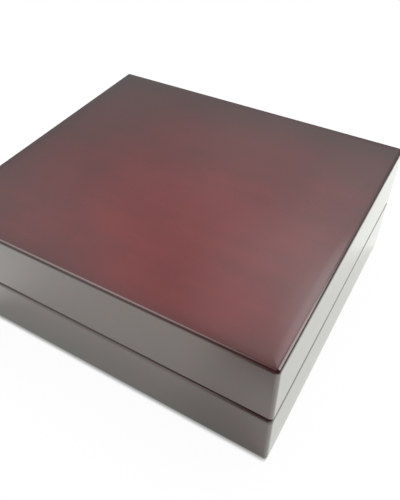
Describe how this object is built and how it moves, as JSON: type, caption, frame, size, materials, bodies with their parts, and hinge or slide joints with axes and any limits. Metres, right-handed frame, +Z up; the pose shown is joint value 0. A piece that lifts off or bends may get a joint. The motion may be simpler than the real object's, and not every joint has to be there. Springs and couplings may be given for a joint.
{
  "type": "hinged presentation case",
  "caption": "Rectangular gloss-lacquered wooden presentation case with a hinged lid of equal height to the base, a padded lid lining and a velvet bed with a padded well.",
  "frame": {"origin": "on the resting surface, under the middle of the closed case", "axes": "+X along the wide front edge to the right, +Y to the hinged back, +Z up"},
  "size_m": [0.25, 0.22, 0.1],
  "materials": {
    "lacquered_mahogany": "high-gloss clear lacquer over red-brown mahogany veneer, edges rubbed slightly darker",
    "bottom_board": "satin-sealed board under the felt",
    "bare_board": "bare hardboard, hidden under the bed",
    "felt": "short pressed felt",
    "lining_velvet": "short-pile velvet over board",
    "lining_satin": "woven satin, soft sheen",
    "card": "grey-white card, hidden behind the pad",
    "brass": "polished brass",
    "screw_brass": "brass, turned heads",
    "nickel": "nickel plating, satin"
  },
  "bodies": {
    "base": {"base_front_board": "lacquered_mahogany", "base_back_board": "lacquered_mahogany", "base_left_board": "lacquered_mahogany", "base_right_board": "lacquered_mahogany", "base_bottom_panel": "bottom_board", "felt_sheet": "felt", "base_front_liner": "lining_velvet", "base_back_liner": "lining_velvet", "base_left_liner": "lining_velvet", "base_right_liner": "lining_velvet", "bed_board": "bare_board", "velvet_bed": "lining_velvet", "well_pad": "lining_velvet", "left_hinge_base_leaf": "brass", "right_hinge_base_leaf": "brass", "left_hinge_pin": "brass", "right_hinge_pin": "brass", "base_hinge_screws": "screw_brass", "base_magnets": "nickel"},
    "lid": {"lid_top_panel": "lacquered_mahogany", "lid_front_board": "lacquered_mahogany", "lid_back_board": "lacquered_mahogany", "lid_left_board": "lacquered_mahogany", "lid_right_board": "lacquered_mahogany", "lid_front_liner": "lining_satin", "lid_back_liner": "lining_satin", "lid_left_liner": "lining_satin", "lid_right_liner": "lining_satin", "lid_pad_card": "card", "lid_pad": "lining_satin", "left_hinge_lid_leaf": "brass", "right_hinge_lid_leaf": "brass", "lid_hinge_screws": "screw_brass", "lid_magnets": "nickel"}
  },
  "joints": [
    {"name": "lid_hinge", "type": "hinge", "parent": "base", "child": "lid", "pos_m": [0, 0.1075, 0.0502], "axis": [-1, 0, 0], "range_deg": [0, 95]}
  ]
}
